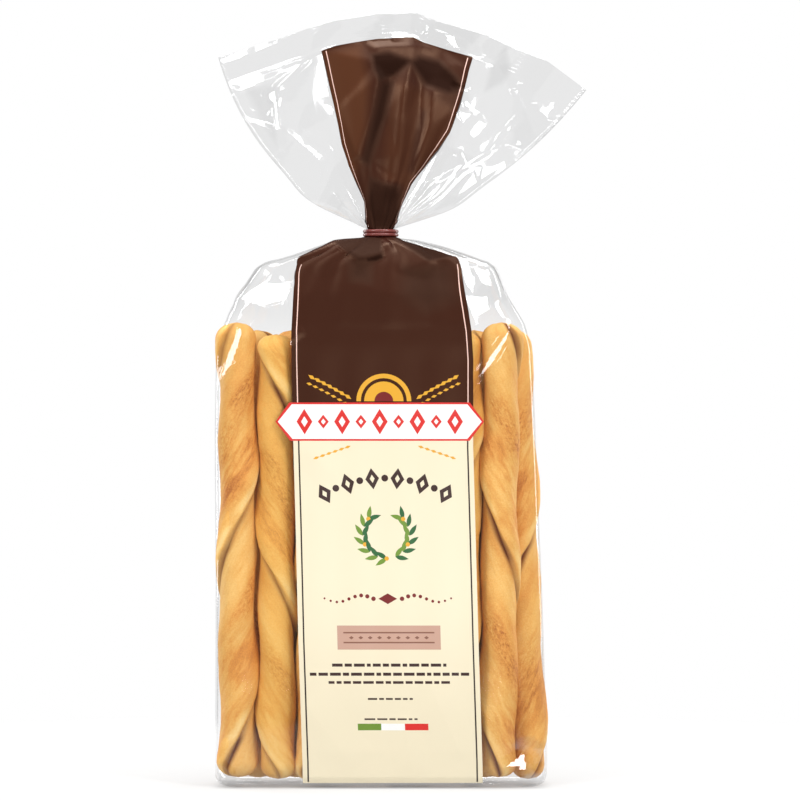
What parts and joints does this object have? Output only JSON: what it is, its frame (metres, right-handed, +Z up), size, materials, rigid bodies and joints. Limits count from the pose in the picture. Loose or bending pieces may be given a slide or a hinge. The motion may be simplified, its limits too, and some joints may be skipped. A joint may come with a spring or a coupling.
{
  "type": "bag of grissini breadsticks",
  "caption": "Upright clear film bag of long rolled breadsticks with a brown and cream printed band, gathered at the neck by a tie, its sealed end fanned out above.",
  "frame": {"origin": "middle of the flat base the bag stands on", "axes": "+Z up along the sticks, -Y out of the printed front, +X to the right seen from the front"},
  "size_m": [0.1814, 0.0436, 0.3789],
  "materials": {
    "film": "clear glossy thin film",
    "print": "glossy ink on film, brown above cream",
    "bread": "dry baked crust, golden, toasted along its seams",
    "tie": "satin coated wire"
  },
  "bodies": {
    "root": {"film_bag": "film", "neck_tie": "tie"}
  },
  "joints": []
}
